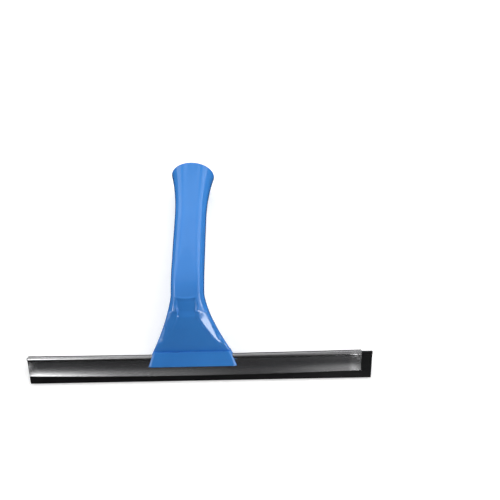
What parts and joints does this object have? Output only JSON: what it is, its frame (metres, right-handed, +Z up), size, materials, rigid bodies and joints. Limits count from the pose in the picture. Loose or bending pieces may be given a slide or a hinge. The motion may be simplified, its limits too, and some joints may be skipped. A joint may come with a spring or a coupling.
{
  "type": "window squeegee",
  "caption": "Window squeegee with a bent moulded handle whose jaws clamp an aluminium channel holding a replaceable rubber blade, and a flared socket for a pole.",
  "frame": {"origin": "On the level surface that the squeegee lies on, under the middle of its bounding box", "axes": "+X along the blade towards the end where the rubber stands out, +Y from the blade to the handle's flared end, +Z up, with the front of the head and the thumb rest facing up"},
  "size_m": [0.36, 0.2278, 0.0643],
  "materials": {
    "blue_plastic": "glossy moulded blue plastic",
    "satin_aluminium": "satin extruded and anodised",
    "black_rubber": "smooth black rubber",
    "screw_steel": "zinc-plated steel"
  },
  "bodies": {
    "squeegee": {"handle": "blue_plastic", "channel": "satin_aluminium", "jaw_screws": "screw_steel"},
    "rubber": {"rubber": "black_rubber"}
  },
  "joints": [
    {"name": "rubber_slide", "type": "slide", "parent": "squeegee", "child": "rubber", "axis": [1, 0, 0], "range_m": [-0.01, 0.34]}
  ]
}
